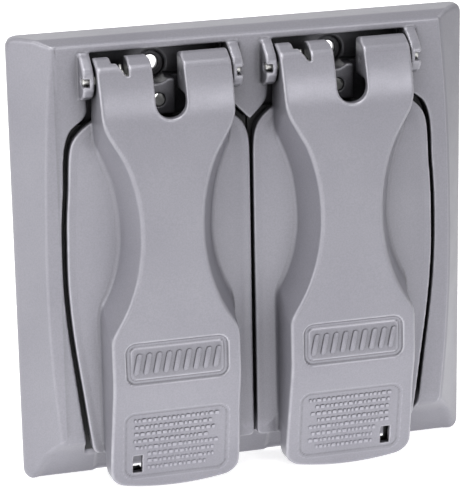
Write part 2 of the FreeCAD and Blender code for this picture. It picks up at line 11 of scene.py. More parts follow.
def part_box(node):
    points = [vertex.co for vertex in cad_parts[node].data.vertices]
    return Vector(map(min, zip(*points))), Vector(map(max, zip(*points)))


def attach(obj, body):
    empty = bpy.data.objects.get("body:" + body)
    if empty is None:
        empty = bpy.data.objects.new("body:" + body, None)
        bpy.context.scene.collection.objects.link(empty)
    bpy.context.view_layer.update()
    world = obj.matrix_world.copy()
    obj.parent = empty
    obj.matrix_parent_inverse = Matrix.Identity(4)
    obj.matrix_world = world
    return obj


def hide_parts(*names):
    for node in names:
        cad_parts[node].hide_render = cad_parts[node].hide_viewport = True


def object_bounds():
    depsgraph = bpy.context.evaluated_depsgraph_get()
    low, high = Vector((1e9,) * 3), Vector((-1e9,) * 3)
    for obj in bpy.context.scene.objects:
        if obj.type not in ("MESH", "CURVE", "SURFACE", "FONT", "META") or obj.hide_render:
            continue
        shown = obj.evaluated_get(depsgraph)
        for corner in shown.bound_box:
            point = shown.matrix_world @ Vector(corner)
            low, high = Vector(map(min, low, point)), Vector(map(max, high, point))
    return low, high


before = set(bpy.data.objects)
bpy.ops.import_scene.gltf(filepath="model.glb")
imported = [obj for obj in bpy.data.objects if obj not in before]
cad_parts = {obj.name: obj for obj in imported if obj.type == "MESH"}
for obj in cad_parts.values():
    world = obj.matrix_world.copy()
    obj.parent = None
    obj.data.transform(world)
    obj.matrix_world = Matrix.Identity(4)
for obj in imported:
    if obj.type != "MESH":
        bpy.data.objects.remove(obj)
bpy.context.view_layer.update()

scene = bpy.context.scene

MM = 0.001
HALF_PITCH = 23.02              # from the plate's middle to the middle of a gang
PIN_Y, PIN_Z = -14.0, 48.7
SCREW_Z = 41.67                 # device screw holes, above and below the middle
LIDS = (("left_lid", 1, -HALF_PITCH), ("right_lid", -1, HALF_PITCH))   # name, hand, middle x


# ------------------------------------------------------------------ implicit solids
# Every cast piece is one implicit function, negative inside, joined with rounded edges and
# fillets, then meshed and pulled onto its exact surface.
def meet(a, b, radius):
    """Intersection, with a rounded convex edge."""
    return np.minimum(np.maximum(a, b), -radius) + np.sqrt(
        np.maximum(a + radius, 0) ** 2 + np.maximum(b + radius, 0) ** 2)


def blunt_meet(a, b, width):
    """Intersection of two faces that meet at a blunt angle, eased over a width."""
    near = np.maximum(width - np.abs(a - b), 0.0) / width
    return np.maximum(a, b) + near * near * width * 0.25


def join(a, b, radius):
    """Union, with a concave fillet."""
    return -meet(-a, -b, radius)


def cut(a, b, radius):
    """a without b, with a rounded edge."""
    return meet(a, -b, radius)


def polygon(px, pz, points):
    """Signed distance to a closed outline."""
    shape = np.broadcast(px, pz).shape
    squared = np.full(shape, 1e12)
    sign = np.ones(shape)
    points = np.asarray(points, float)
    for (ax, az), (bx, bz) in zip(points, np.roll(points, 1, axis=0)):
        edge_x, edge_z = bx - ax, bz - az
        off_x, off_z = px - ax, pz - az
        t = np.clip((off_x * edge_x + off_z * edge_z) / (edge_x * edge_x + edge_z * edge_z), 0, 1)
        squared = np.minimum(squared, (off_x - edge_x * t) ** 2 + (off_z - edge_z * t) ** 2)
        above, below, beside = pz >= az, pz < bz, edge_x * off_z > edge_z * off_x
        crosses = (above & below & beside) | (~above & ~below & ~beside)
        sign = np.where(crosses, -sign, sign)
    return sign * np.sqrt(squared)


def spline(points, step=1.2):
    """A natural cubic through the points, resampled about every step."""
    points = np.asarray(points, float)
    along = np.concatenate([[0], np.cumsum(np.linalg.norm(np.diff(points, axis=0), axis=1))])
    count = len(along)
    gap = np.diff(along)
    system = np.eye(count)
    target = np.zeros((count, 2))
    for i in range(1, count - 1):
        system[i, i - 1:i + 2] = gap[i - 1], 2 * (gap[i - 1] + gap[i]), gap[i]
        target[i] = 6 * ((points[i + 1] - points[i]) / gap[i] -
                         (points[i] - points[i - 1]) / gap[i - 1])
    second = np.linalg.solve(system, target)       # second derivatives at the points
    samples = []
    for s in np.linspace(0, along[-1], max(4, int(along[-1] / step))):
        i = min(count - 2, max(0, int(np.searchsorted(along, s) - 1)))
        u, v, g = along[i + 1] - s, s - along[i], gap[i]
        samples.append((second[i] * u ** 3 + second[i + 1] * v ** 3) / (6 * g) +
                       (points[i] / g - second[i] * g / 6) * u +
                       (points[i + 1] / g - second[i + 1] * g / 6) * v)
    return np.array(samples)


class Profile:
    """A smooth function of height: straight runs between stations, with the corners eased."""

    def __init__(self, stations, ease):
        stations = sorted(stations)
        self.z = np.arange(stations[0][0] - 12, stations[-1][0] + 12, 0.1)
        raw = np.interp(self.z, [z for z, _ in stations], [value for _, value in stations])
        reach = np.arange(-4 * ease, 4 * ease + 0.05, 0.1)
        weight = np.exp(-0.5 * (reach / ease) ** 2)
        weight /= weight.sum()
        pad = len(weight) // 2
        padded = np.pad(raw, pad, mode="edge")
        self.values = np.convolve(padded, weight, mode="same")[pad:-pad]
        self.slopes = np.gradient(self.values, self.z)

    def __call__(self, z):
        return np.interp(z, self.z, self.values)

    def slope(self, z):
        return np.interp(z, self.z, self.slopes)


def corner(dx, dz, radius):
    """A rounded corner, from the distances past the centre of its arc."""
    outside = np.sqrt(np.maximum(dx, 0) ** 2 + np.maximum(dz, 0) ** 2)
    return outside + np.minimum(np.maximum(dx, dz), 0) - radius


def rounded_box(x, z, centre, half, radius):
    return corner(np.abs(x - centre[0]) - half[0] + radius,
                  np.abs(z - centre[1]) - half[1] + radius, radius)


def disc(x, z, centre, radius):
    return np.sqrt((x - centre[0]) ** 2 + (z - centre[1]) ** 2) - radius


def slab(v, low, high):
    return np.maximum(low - v, v - high)


def surface_nets(solid, low, high, step):
    """Quads along the zero surface inside a box: one vertex per crossed cell, pulled onto it."""
    xs, ys, zs = [np.arange(a, b + step, step) for a, b in zip(low, high)]
    field = np.ascontiguousarray(
        np.broadcast_to(solid(xs[:, None, None], ys[None, :, None], zs[None, None, :]),
                        (len(xs), len(ys), len(zs))), dtype=np.float32)
    inside = field < 0
    ones = inside.astype(np.uint8)
    nx, ny, nz = [n - 1 for n in ones.shape]
    count = sum(ones[i:nx + i, j:ny + j, k:nz + k]
                for i in (0, 1) for j in (0, 1) for k in (0, 1))
    crossed = (count > 0) & (count < 8)
    index = np.full(crossed.shape, -1, np.int64)
    cells = np.argwhere(crossed)
    index[crossed] = np.arange(len(cells))

    # each vertex starts at the mean of the crossings on its cell's edges
    i, j, k = cells.T
    values = {(p, q, r): field[i + p, j + q, k + r].astype(float)
              for p in (0, 1) for q in (0, 1) for r in (0, 1)}
    total = np.zeros((len(cells), 3))
    crossings = np.zeros(len(cells))
    for start in values:
        for axis in range(3):
            if start[axis]:
                continue
            end = tuple(1 if n == axis else start[n] for n in range(3))
            va, vb = values[start], values[end]
            hit = (va < 0) != (vb < 0)
            t = np.where(hit, va / np.where(hit, va - vb, 1), 0)
            for n in range(3):
                total[:, n] += np.where(hit, start[n] + (t if n == axis else 0), 0)
            crossings += hit
    verts = (cells + total / crossings[:, None]) * step + np.array([xs[0], ys[0], zs[0]])

    # one quad round every crossed grid edge
    quads = []
    for axis in range(3):
        side_1, side_2 = [n for n in range(3) if n != axis]
        near, far, core = [[slice(None)] * 3 for _ in range(3)]
        near[axis], far[axis] = slice(0, -1), slice(1, None)
        core[side_1], core[side_2] = slice(1, -1), slice(1, -1)
        starts = inside[tuple(near)]
        edges = np.argwhere((starts != inside[tuple(far)])[tuple(core)])
        edges[:, side_1] += 1
        edges[:, side_2] += 1
        leaving = starts[tuple(edges.T)]
        corners = []
        for d1, d2 in ((-1, -1), (0, -1), (0, 0), (-1, 0)):
            cell = edges.copy()
            cell[:, side_1] += d1
            cell[:, side_2] += d2
            corners.append(index[tuple(cell.T)])
        quad = np.stack(corners, axis=1)
        turned = leaving if axis == 1 else ~leaving
        quad[turned] = quad[turned][:, ::-1]
        quads.append(quad)

    e = 0.02
    for _ in range(3):
        x, y, z = verts.T
        d = solid(x, y, z)
        gradient = np.stack([solid(x + e, y, z) - d, solid(x, y + e, z) - d,
                             solid(x, y, z + e) - d], axis=1) / e
        squared = np.maximum((gradient ** 2).sum(1), 0.3)
        verts = verts - np.clip(d / squared, -0.35 * step, 0.35 * step)[:, None] * gradient

    # how sharply the surface bends: positive on edges, negative in corners
    x, y, z = verts.T
    e = 0.4
    bend = (solid(x + e, y, z) + solid(x - e, y, z) + solid(x, y + e, z) + solid(x, y - e, z) +
            solid(x, y, z + e) + solid(x, y, z - e) - 6 * solid(x, y, z)) / (e * e)
    return verts, np.concatenate(quads).tolist(), np.clip(bend, -3.0, 3.0)


def mesh_piece(name, verts, faces, mat, body, slot, bend=None):
    mesh = bpy.data.meshes.new(name)
    mesh.from_pydata((np.asarray(verts, float) * MM).tolist(), [], faces)
    mesh.validate()
    mesh.update()
    mesh.polygons.foreach_set("use_smooth", [True] * len(mesh.polygons))
    if bend is not None:
        attribute = mesh.attributes.new("bend", "FLOAT", "POINT")
        attribute.data.foreach_set("value", np.asarray(bend, np.float32))
    piece = bpy.data.objects.new(name, mesh)
    scene.collection.objects.link(piece)
    mesh.materials.append(mat)
    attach(piece, body)
    return piece


# ------------------------------------------------------------------ outlines
# Side of a gang's well, (x from the gang's middle, z), downwards.
WELL_SIDE = [
    (-18.2, 42.9), (-18.4, 39.8), (-19.8, 38.0), (-22.2, 36.2), (-23.6, 33.6), (-24.4, 29.8),
    (-24.8, 21.8), (-25.4, 13.8), (-25.65, 7.1), (-25.7, -0.9), (-25.4, -9.2), (-24.7, -17.5),
    (-23.7, -25.9), (-22.7, -34.4), (-21.7, -43.0), (-20.7, -51.1)]
# Outer side of the left lid, (x, z), downwards, and its upper inner side, also downwards.
LID_SIDE = [
    (-17.8, 37.5), (-20.6, 35.3), (-22.4, 32.9), (-23.2, 29.8), (-23.7, 21.8), (-24.3, 13.9),
    (-24.5, 7.1), (-24.6, -0.9), (-24.3, -9.2), (-23.6, -17.5), (-22.6, -25.9), (-21.5, -34.3),
    (-20.4, -43.0), (-19.8, -47.0)]
LID_INNER = [(17.8, 37.5), (20.9, 34.6), (22.1, 31.8), (22.5, 29.0), (22.6, 25.5)]
LID_BOTTOM = [(-19.5, -48.0), (-18.6, -48.8), (21.4, -48.8), (22.25, -48.45), (22.6, -47.6)]

LID_OUTLINE = np.concatenate([
    spline(LID_SIDE), LID_BOTTOM, [(22.6, z) for z in np.linspace(-40, 24, 9)],
    spline(LID_INNER)[::-1]])

# Both wells together, (x, z): a wedge parts them above and a tongue below.
MIRROR = np.array([-1, 1])
well_left = np.concatenate([[(-18.2, 54.9), (-18.2, 48.9)], spline(WELL_SIDE)])
well_left = well_left - np.array([HALF_PITCH, 0])
wedge = np.array([(4.82, 54.9), (4.82, 42.9), (4.55, 40.6), (3.9, 39.1), (2.9, 37.9),
                  (1.2, 36.2), (0.0, 35.0)])
TONGUE = [(-43.4, -64.0), (-2.3, -64.0), (-2.3, -49.2), (2.3, -49.2), (2.3, -64.0), (43.4, -64.0)]
WELLS_OUTLINE = np.concatenate([
    well_left, TONGUE, (well_left * MIRROR)[::-1], wedge, (wedge * MIRROR)[::-1][1:]])

# Crease between the plate's face and its side slope, (|x|, z), downwards.
CREASE = [(49.6, 57.0), (50.7, 46.0), (51.35, 38.0), (52.1, 24.0), (52.55, 10.0), (52.75, -4.0),
          (52.5, -18.0), (51.9, -30.0), (51.1, -40.0), (50.5, -46.5)]
crease = spline(CREASE, step=2.0)[::-1]
CREASE_Z = np.concatenate([[-62.0], crease[:, 1], [62.0]])
CREASE_X = np.concatenate([[49.6], crease[:, 0], [49.1]])

# Hinge ear, (y, z).
EAR = [(-6.6, 54.95), (-11.2, 54.95), (-12.6, 54.1), (-15.3, 52.0), (-16.3, 50.7), (-16.8, 48.9),
       (-16.5, 46.9), (-15.2, 45.0), (-12.6, 43.8), (-6.6, 43.6)]

# Hollows cored into the plate's back, (|x|, z) at the corners and (x, z) in the middle.
CORE_UPPER = [(45.8, 53.4), (48.9, 53.4), (49.8, 41.0), (48.4, 38.6), (45.9, 42.2)]
CORE_LOWER = [(48.7, -30.0), (50.9, -30.0), (50.0, -44.0), (47.1, -44.0)]
CORE_MIDDLE = [(-2.2, 53.4), (-2.2, 43.6), (0.0, 40.6), (2.2, 43.6), (2.2, 53.4)]

# ------------------------------------------------------------------ lid
# Handle: (z, y of its front), then (z, half width at its front) and (z, half width at its foot).
FRONT = Profile([
    (58, -14.2), (54.1, -16.1), (50.5, -17.7), (47.0, -19.15), (44.0, -20.15), (41.0, -20.9),
    (38.0, -21.3), (30, -21.6), (20, -21.9), (7, -22.3), (-16, -22.65), (-26, -23.0),
    (-29, -22.85), (-36, -21.1), (-46, -19.3), (-53, -18.1), (-60, -16.6)], ease=1.3)
TOP_HALF = Profile([
    (60, 17.0), (46.0, 17.0), (43.6, 16.95), (40.4, 16.75), (36.8, 15.7), (33.2, 13.6),
    (29.4, 11.35), (25.4, 9.85), (21.3, 8.8), (17.3, 8.15), (13.3, 7.85), (8.6, 7.85),
    (6.6, 8.05), (2.6, 8.6), (-0.6, 9.3), (-4.1, 10.4), (-7.2, 11.6), (-10.2, 13.1),
    (-12.5, 14.6), (-14.9, 16.1), (-16.2, 16.4), (-36, 16.5), (-46, 16.95), (-60, 17.05)], ease=0.7)
FOOT_HALF = Profile([
    (60, 17.1), (43.6, 17.15), (41.0, 17.45), (39.5, 17.9), (38.1, 18.1), (35.7, 17.9),
    (33.3, 17.3), (30, 15.9), (26.3, 14.5), (22.2, 13.2), (18.1, 12.4), (14.1, 11.9),
    (10.1, 11.7), (6.4, 11.7), (1.2, 12.5), (-2.3, 13.4), (-5.9, 14.7), (-8.6, 16.0),
    (-10.9, 17.3), (-12.5, 17.75), (-36, 17.6), (-48, 17.1), (-60, 17.0)], ease=0.7)
WALL = 2.3
FOOT_Y = -13.4
PADDLE_BACK = -8.6
LID_TOP = 54.0
TAB_HALF, TAB_CORNER = 17.2, 4.2        # lower end of the handle: half width, corner radius
RIB_HALF, RIB_CORNER, RIB_WIDTH = (19.1, 35.85), 4.2, 1.6
NOTCH_X, NOTCH_BOTTOM, NOTCH_RADIUS = 0.8, 39.3, 3.9
KNUCKLE_CORNER = 1.3
UPPER_PANEL_Z, LOWER_PANEL_Z = -22.05, -44.9
PLATEAU_DEPTH = 0.2                     # upper panel's plateau, behind the handle's front


def handle_flank(x, y, z, inset=0.0):
    """Sides of the handle, which change width from its foot to its front."""
    foot, top = FOOT_HALF(z), TOP_HALF(z)
    depth = FRONT(z) - FOOT_Y
    t = np.clip((y - FOOT_Y) / depth, -0.6, 1.2)
    foot_in, top_in = foot - inset, top - inset
    width = foot_in + (top_in - foot_in) * t
    run = (top - foot) / depth
    rise = FOOT_HALF.slope(z) * 0.5 + TOP_HALF.slope(z) * 0.5
    return (np.abs(x) - width) / np.sqrt(1 + run ** 2 + rise ** 2)


def front_gap(y, z, depth=0.0):
    """Positive in front of the handle's front surface set back by depth."""
    return (FRONT(z) + depth - y) / np.sqrt(1 + FRONT.slope(z) ** 2)


def pin_distance(y, z):
    return np.sqrt((y - PIN_Y) ** 2 + (z - PIN_Z) ** 2)


def paddle(outer_x, y, z):
    """Rounded plate with a flat rim, rising inwards."""
    edge = -polygon(outer_x, z, LID_OUTLINE)
    t = np.clip((edge - 2.0) / 11.0, 0, 1)
    top = -11.85 - 1.25 * (1 - (1 - t) ** 2)
    return meet(meet(-edge, top - y, radius=0.4), y - PADDLE_BACK, radius=0.3)


def handle(x, y, z):
    """The solid handle, from hinge knuckles to lower tab."""
    edge_radius = 0.55 + 0.2 * np.clip((41.0 - z) / 5.0, 0, 1)
    body = meet(handle_flank(x, y, z), front_gap(y, z), edge_radius)
    # the knuckles' sloping top, then their round back
    body = meet(body, 0.887 * (z - 52.0) - 0.462 * (y + 17.05), radius=0.6)
    body = meet(body, z - LID_TOP, radius=0.7)
    knuckle = np.where((z > 46) & (y > -14.4), pin_distance(y, z) - 5.75, -5.0)
    body = meet(body, knuckle, radius=0.5)
    # bowed lower end with rounded corners
    end = -57.7 + 0.0072 * x ** 2
    tab = corner(np.abs(x) - (TAB_HALF - TAB_CORNER), (end + TAB_CORNER) - z, TAB_CORNER)
    body = meet(body, tab, radius=1.0)
    # back planes of the tab, the knuckles and the part between
    back = np.where(z < -48.6, -12.6, np.where(z > 37, -10.4, PADDLE_BACK))
    return meet(body, y - back, radius=0.35)


def hollow_lid(solid, x, y, z):
    """Hollows open at the back: three in the handle, one in the tab."""
    hollow = meet(handle_flank(x, y, z, WALL), front_gap(y, z, WALL), radius=1.2)
    parts = np.minimum(np.minimum(slab(z, 37.0, 44.4), slab(z, -33.4, 33.4)),
                       slab(z, -46.4, -37.0))
    solid = cut(solid, meet(hollow, parts, radius=0.8), radius=0.35)
    tab = meet(rounded_box(x, z, centre=(0, -51.6), half=(13.6, 4.0), radius=2.0),
               front_gap(y, z, WALL), radius=0.8)
    # a thin web left in each lower corner of the tab's hollow
    web = np.maximum((z + 51.0 - 1.375 * (np.abs(x) - 9.6)) / 1.7, -13.7 - y)
    return cut(solid, np.maximum(tab, -web), radius=0.3)


def add_rib(solid, x, y, z):
    """The sealing rib round the device opening."""
    outer = rounded_box(x, z, (0, 0), RIB_HALF, RIB_CORNER)
    inner = rounded_box(x, z, (0, 0), [half - RIB_WIDTH for half in RIB_HALF],
                        RIB_CORNER - RIB_WIDTH)
    rib = meet(np.maximum(outer, -inner), slab(y, -9.2, -7.5), radius=0.25)
    return join(solid, rib, radius=0.3)


def cut_hinge(solid, x, y, z):
    """U notch between the knuckles, spring pocket and pin bores."""
    arc_z = NOTCH_BOTTOM + NOTCH_RADIUS
    notch = np.where(z < arc_z, disc(x, z, (NOTCH_X, arc_z), NOTCH_RADIUS),
                     np.abs(x - NOTCH_X) - NOTCH_RADIUS)
    solid = cut(solid, np.maximum(notch, y + 7.0), radius=0.38)
    # rounded inner corners at the top of both knuckles
    for side in (-1, 1):
        dx = KNUCKLE_CORNER - (side * (x - NOTCH_X) - NOTCH_RADIUS)
        dz = KNUCKLE_CORNER - (LID_TOP - z)
        near = (dx > 0) & (dx < 3.0) & (dz > 0)
        solid = np.maximum(solid, np.where(near, np.sqrt(dx ** 2 + dz ** 2) - KNUCKLE_CORNER,
                                           -9.0))
    # the coil pocket, and the V notch above it
    front = np.maximum(np.where(z < 51.4, -16.5, -15.2), FRONT(z) + 1.0)
    pocket = meet(meet(slab(x, -12.8, -8.8), front - y, radius=0.3), 44.7 - z, radius=0.3)
    solid = cut(solid, pocket, radius=0.2)
    v_notch = np.maximum(np.maximum(x + 8.9, 50.0 - z), -0.829 * (x + 9.7) - 0.559 * (z - 50.0))
    solid = cut(solid, np.maximum(v_notch, y + 13.0), radius=0.2)
    return cut(solid, np.maximum(pin_distance(y, z) - 1.06, 5.1 - np.abs(x)), radius=0.15)


def sink_panels(solid, x, y, z):
    """Upper panel: a sunk groove round a low plateau. Lower panel: one shallow recess."""
    upper = rounded_box(x, z, centre=(0, UPPER_PANEL_Z), half=(13.1, 5.35), radius=2.5)
    solid = cut(solid, np.maximum(upper, y - FRONT(z) - 0.46), radius=0.3)
    plateau = meet(upper + 1.25, front_gap(y, z, PLATEAU_DEPTH), radius=0.16)
    plateau = meet(plateau, y - FRONT(z) - 1.6, radius=0.1)
    solid = join(solid, plateau, radius=0.3)
    lower = rounded_box(x, z, centre=(0, LOWER_PANEL_Z), half=(13.4, 9.15), radius=2.6)
    depth = 0.44 * np.clip(0.5 - lower / 0.8, 0, 1)
    near = (lower < 0.7) & (y < FRONT(z) + 1.5)
    return np.maximum(solid, np.where(near, FRONT(z) + depth - y, -9.0))


def lid_solid(hand):
    """The lid about its own middle; hand is 1 for the left lid and -1 for the right."""
    def solid_at(x, y, z):
        outer_x = x * hand
        solid = join(paddle(outer_x, y, z), handle(x, y, z), radius=0.9)
        solid = hollow_lid(solid, x, y, z)
        solid = add_rib(solid, x, y, z)
        solid = cut_hinge(solid, x, y, z)
        lock_slot = np.maximum(np.abs(outer_x + 9.9) - 1.2, np.abs(z + 50.4) - 2.35)
        solid = cut(solid, lock_slot, radius=0.16)
        return sink_panels(solid, x, y, z)
    return solid_at


# ------------------------------------------------------------------ cover plate
PLATE_HALF_X = 58.92
FACE_Y = -11.0
FLANK_Y, FLANK_DEPTH = -10.6, 9.0       # front of the side slopes, and how deep they run
CREASE_STEP = 0.35                      # side slopes start this far outside the crease
CORE_Y = -8.4                           # front of the cored hollows
BORE_RADIUS = 1.0
DEVICE_HOLE_UPPER, DEVICE_HOLE_LOWER = 1.6, 1.9     # radii
OUTER_HOLE_Z, OUTER_HOLE, OUTER_SINK = 49.2, 1.92, 3.4   # height, hole radius, recess radius
FINGER_HALF = 17.6


def lower_slope(y, z):
    """Lower plane of the scooped bottom flank."""
    return (z + 48.3 + 1.467 * (y + 7.5)) / 1.775


def plate_body(x, y, z):
    """Frustum with sloping sides, a nearly square top and a flat band round the foot."""
    abs_x = np.abs(x)
    crease_x = np.interp(z, CREASE_Z, CREASE_X)
    t = (y - FLANK_Y) / FLANK_DEPTH
    run = PLATE_HALF_X - crease_x - CREASE_STEP
    side = (abs_x - (crease_x + CREASE_STEP + run * t)) / np.sqrt(1 + (run / FLANK_DEPTH) ** 2)
    crest = np.minimum(57.05 + 0.34 * (y - FLANK_Y), 58.27 + 0.03 * (y + 7.0))
    solid = meet(side, (z - crest) / 1.02, radius=0.4 + 1.0 * np.clip(t, 0, 1))
    left = np.clip((-47.5 - x) / 2.0, 0, 1)      # softens the crease at the left edge
    solid = blunt_meet(solid, -10.62 - 0.38 * left - y, width=0.6 - 0.15 * left)
    # the face stands a little proud of the slopes
    face_y = FACE_Y + 0.35 * np.clip((left - 0.9) / 0.1, 0, 1)
    face = meet(abs_x - crease_x + 1.6 * left, z - 56.8, radius=0.35)
    face = meet(face, face_y - y, radius=0.45)
    solid = join(solid, np.maximum(face, y + 8.0), radius=0.01 + 0.29 * (1 - left))
    # the bottom flank, scooped between its two corners
    solid = blunt_meet(solid, (-46.5 - 1.227 * (y - FACE_Y) - z) / 1.583, width=2.0)
    upper_slope = (z + 46.3 + 0.55 * (y - FACE_Y)) / 1.141
    scoop = meet(meet(upper_slope, lower_slope(y, z), radius=1.2),
                 (abs_x - 53.4 - 0.5 * (y + 9.0)) / 1.118, radius=3.0)
    solid = cut(solid, scoop, radius=1.5)
    outline = rounded_box(x, z, centre=(0, 0.35), half=(PLATE_HALF_X, 58.15), radius=3.0)
    solid = blunt_meet(solid, outline, width=0.6)
    return meet(solid, y, radius=0.25)


def hollow_plate(solid, x, y, z):
    """Hollow back, cored hollows, wells, and the deeper pocket behind each hinge."""
    hollow = rounded_box(x, z, centre=(0, 0), half=(56.12, 45.6), radius=2.4)
    solid = cut(solid, np.maximum(hollow, -3.0 - y), radius=0.25)
    abs_x = np.abs(x)
    for across, outline in ((abs_x, CORE_UPPER), (abs_x, CORE_LOWER), (x, CORE_MIDDLE)):
        solid = cut(solid, np.maximum(polygon(across, z, outline), CORE_Y - y), radius=0.2)
    wells = meet(polygon(x, z, WELLS_OUTLINE), y + 5.8, radius=0.5)
    solid = cut(solid, wells, radius=0.45)
    pocket = rounded_box(abs_x - HALF_PITCH, z, centre=(0, 50.6), half=(17.0, 3.8), radius=0.8)
    return cut(solid, meet(pocket, slab(y, -9.0, -3.4), radius=0.4), radius=0.3)


def add_hinge_mounts(solid, x, y, z):
    """Upper screw seats and hinge ears, with slots and bores for the pins."""
    gang_x = np.abs(x) - HALF_PITCH
    seat = np.maximum(slab(gang_x * np.sign(x), -2.9, 4.1), np.abs(z - 42.4) - 4.4)
    solid = join(solid, meet(seat, slab(y, -10.5, -3.5), radius=0.35), radius=0.4)
    ear = meet(polygon(y, z, EAR), np.abs(np.abs(gang_x) - 18.7) - 1.4, radius=0.4)
    solid = join(solid, ear, radius=0.6)
    slot = np.maximum(np.maximum(np.abs(z - PIN_Z) - BORE_RADIUS, y - PIN_Y),
                      np.abs(np.abs(gang_x) - 19.5) - 1.1)
    solid = cut(solid, slot, radius=0.18)
    bore = np.maximum(pin_distance(y, z) - BORE_RADIUS, 16.0 - np.abs(gang_x))
    return cut(solid, bore, radius=0.1)


def cut_openings(solid, x, y, z):
    """Device openings, screw holes and finger recesses in the bottom flank."""
    gang_x, abs_z, upper = np.abs(x) - HALF_PITCH, np.abs(z), z > 0
    through = slab(y, -20, 3)
    opening = rounded_box(gang_x, z, centre=(0, 0), half=(16.75, 33.5), radius=3.2)
    solid = cut(solid, np.maximum(opening, through), radius=0.35)
    device_radius = np.where(upper, DEVICE_HOLE_UPPER, DEVICE_HOLE_LOWER)
    for centre_z, hole_radius, depth in (
            (SCREW_Z, device_radius, through),
            (OUTER_HOLE_Z, OUTER_HOLE, through),
            (OUTER_HOLE_Z, OUTER_SINK, y + np.where(upper, 1.9, 3.9))):
        hole = disc(gang_x, abs_z, (0, centre_z), hole_radius)
        solid = cut(solid, np.maximum(hole, depth), radius=0.2)
    across = np.abs(gang_x) - FINGER_HALF
    finger = meet(meet(lower_slope(y, z) - 0.6, across, radius=1.2), y + 1.4, radius=0.5)
    solid = cut(solid, finger, radius=0.5)
    return cut(solid, meet(z + 57.3, across, radius=0.8), radius=0.4)


def plate_solid(x, y, z):
    solid = plate_body(x, y, z)
    for step in (hollow_plate, add_hinge_mounts, cut_openings):
        solid = step(solid, x, y, z)
    return solid


# ------------------------------------------------------------------ shader helpers
def add(tree, kind, inputs=None, **settings):
    """A shader node; inputs maps sockets to values, or to other nodes' outputs to link."""
    node = tree.nodes.new("ShaderNode" + kind)
    for key, value in settings.items():
        setattr(node, key, value)
    for socket, value in (inputs or {}).items():
        if isinstance(value, bpy.types.NodeSocket):
            tree.links.new(value, node.inputs[socket])
        else:
            node.inputs[socket].default_value = value
    return node


def set_inputs(tree, node, inputs):
    for socket, output in inputs.items():
        tree.links.new(output, node.inputs[socket])


def coordinates(tree, kind="Object"):
    return add(tree, "TexCoord").outputs[kind]


def noise(tree, where, scale, detail):
    inputs = {"Scale": scale, "Detail": detail, "Vector": where}
    return add(tree, "TexNoise", inputs).outputs["Fac"]


def remap(tree, value, source=(0.0, 1.0), to=(0.0, 1.0), **settings):
    inputs = {"From Min": source[0], "From Max": source[1], "To Min": to[0], "To Max": to[1],
              "Value": value}
    return add(tree, "MapRange", inputs, **settings).outputs["Result"]


def maths(tree, operation, *values):
    return add(tree, "Math", dict(enumerate(values)), operation=operation).outputs[0]


def ramp(tree, factor, *stops):
    """Colour ramp through two stops, each (position, rgb)."""
    node = add(tree, "ValToRGB", {"Fac": factor})
    for element, (position, rgb) in zip(node.color_ramp.elements, stops):
        element.position = position
        element.color = (*rgb, 1)
    return node.outputs["Color"]


def mix(tree, factor, a, b, **settings):
    inputs = {"Factor": factor, "A": a, "B": b}
    return add(tree, "Mix", inputs, data_type="RGBA", **settings).outputs["Result"]


def multiply(tree, a, b):
    return mix(tree, 1.0, a, b, blend_type="MULTIPLY")


def bump(tree, height, strength, distance):
    inputs = {"Strength": strength, "Distance": distance, "Height": height}
    return add(tree, "Bump", inputs).outputs["Normal"]


def distance_to(tree, where, point):
    node = add(tree, "VectorMath", {0: where, 1: point}, operation="DISTANCE")
    return node.outputs["Value"]


def new_material(name):
    mat = bpy.data.materials.new(name)
    mat.use_nodes = True
    tree = mat.node_tree
    tree.nodes.clear()
    output = add(tree, "OutputMaterial")
    bsdf = add(tree, "BsdfPrincipled")
    tree.links.new(bsdf.outputs[0], output.inputs[0])
    return mat, tree, bsdf


# ------------------------------------------------------------------ materials
COAT_LOW, COAT_HIGH, COAT_METAL = (0.215, 0.211, 0.241), (0.241, 0.237, 0.267), 0.30
SHADE_REACH = 0.013                     # metres


def shade(tree, colour):
    """Paints shade into a colour, darkening it in recesses: in the piece's own hollows everywhere,
    and between pieces above the bottom flank."""
    own = add(tree, "AmbientOcclusion", {"Distance": SHADE_REACH}, samples=8, only_local=True)
    near = add(tree, "AmbientOcclusion", {"Distance": SHADE_REACH}, samples=8)
    place = add(tree, "SeparateXYZ", {0: coordinates(tree)})
    low_part = remap(tree, place.outputs["Z"], source=(-0.041, -0.047))
    between = maths(tree, "MAXIMUM", near.outputs["AO"], low_part)
    least = maths(tree, "MINIMUM", own.outputs["AO"], between)
    eased = maths(tree, "POWER", remap(tree, least, source=(0.10, 0.82)), 1.0)
    lift = remap(tree, eased, to=(0.03, 1.0))
    # painted shade: the walls of the upper device screw holes are darkened in colour
    abs_x = maths(tree, "ABSOLUTE", place.outputs["X"])
    flat = add(tree, "CombineXYZ", {"X": abs_x, "Z": place.outputs["Z"]}).outputs[0]
    off = distance_to(tree, flat, (HALF_PITCH * MM, 0.0, SCREW_Z * MM))
    bore = remap(tree, off, source=(0.00165, 0.0020), to=(0.16, 1.0), name="bore")
    return multiply(tree, colour, maths(tree, "MULTIPLY", lift, bore))
